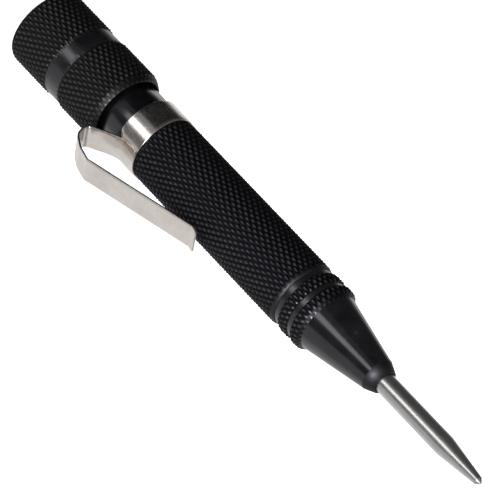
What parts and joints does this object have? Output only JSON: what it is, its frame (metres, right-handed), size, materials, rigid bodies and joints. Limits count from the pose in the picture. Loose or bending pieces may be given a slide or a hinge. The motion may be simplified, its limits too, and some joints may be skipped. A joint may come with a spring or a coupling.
{
  "type": "automatic centre punch",
  "caption": "Spring-loaded hand punch for marking metal: knurled barrel, tapered nose, plunging steel point, screw cap that sets the blow, and a pocket clip.",
  "frame": {"origin": "centre of the adjusting cap's flat end face", "axes": "+Z runs along the tool from the cap to the point, +X points from the axis to the pocket clip, +Y completes a right-handed frame"},
  "size_m": [0.0232, 0.0164, 0.1265],
  "materials": {
    "adjusting_cap": "black oxide over a fine diamond knurl, satin smooth band",
    "barrel": "black oxide over a fine diamond knurl, glossy smooth neck",
    "clip_arm": "nickel-plated spring steel sheet with fine scratches",
    "clip_band": "nickel-plated spring steel sheet with fine scratches",
    "guide_bush": "turned steel",
    "hammer": "hardened and ground steel",
    "main_spring": "oiled spring steel wire",
    "nose_piece": "glossy black oxide over a turned cone",
    "point_holder": "turned steel",
    "punch_point": "hardened steel, ground and bright",
    "return_spring": "bright spring steel wire",
    "spring_seat": "turned steel",
    "trip_block": "hardened steel",
    "trip_pin": "hardened and ground steel",
    "trip_spring": "blued spring steel leaf"
  },
  "bodies": {
    "barrel": {"barrel": "barrel", "nose_piece": "nose_piece", "guide_bush": "guide_bush", "main_spring": "main_spring", "return_spring": "return_spring"},
    "plunger": {"point_holder": "point_holder", "punch_point": "punch_point", "trip_pin": "trip_pin"},
    "hammer": {"hammer": "hammer", "trip_spring": "trip_spring"},
    "trip_block": {"trip_block": "trip_block"},
    "spring_seat": {"spring_seat": "spring_seat"},
    "cap": {"adjusting_cap": "adjusting_cap"},
    "clip_band": {"clip_band": "clip_band"},
    "clip_arm": {"clip_arm": "clip_arm"}
  },
  "joints": [
    {"name": "point_plunge", "type": "slide", "parent": "barrel", "child": "plunger", "axis": [0, 0, -1], "range_m": [0, 0.008], "stiffness_N_per_m": 500, "springref_m": -0.004, "deforming": ["return_spring"]},
    {"name": "hammer_lift", "type": "slide", "parent": "barrel", "child": "hammer", "axis": [0, 0, -1], "range_m": [0, 0.008], "stiffness_N_per_m": 3000, "springref_m": -0.012, "deforming": ["main_spring"]},
    {"name": "trip_shift", "type": "slide", "parent": "hammer", "child": "trip_block", "axis": [-1, 0, 0], "range_m": [0, 0.001], "stiffness_N_per_m": 300, "springref_m": -0.001},
    {"name": "cap_advance", "type": "slide", "parent": "spring_seat", "child": "barrel", "axis": [0, 0, -1], "range_m": [-0.004, 0.0025], "deforming": ["main_spring"]},
    {"name": "cap_turn", "type": "hinge", "parent": "cap", "child": "spring_seat", "pos_m": [0, 0, 0.0125], "axis": [0, 0, -1], "range_deg": [-1441, 901]},
    {"name": "clip_swivel", "type": "hinge", "parent": "barrel", "child": "clip_band", "pos_m": [0, 0, 0.0331], "axis": [0, 0, 1], "continuous": true},
    {"name": "clip_flex", "type": "hinge", "parent": "clip_band", "child": "clip_arm", "pos_m": [0.0109, 0, 0.02575], "axis": [0, 1, 0], "range_deg": [0, 8], "stiffness_Nm_per_rad": 2}
  ],
  "couplings": [
    {"joint": "hammer_lift", "follows": "point_plunge", "ratio": 1},
    {"joint": "trip_shift", "follows": "point_plunge", "ratio": 0.125},
    {"joint": "cap_turn", "follows": "cap_advance", "rad_per_m": 6283.2}
  ]
}
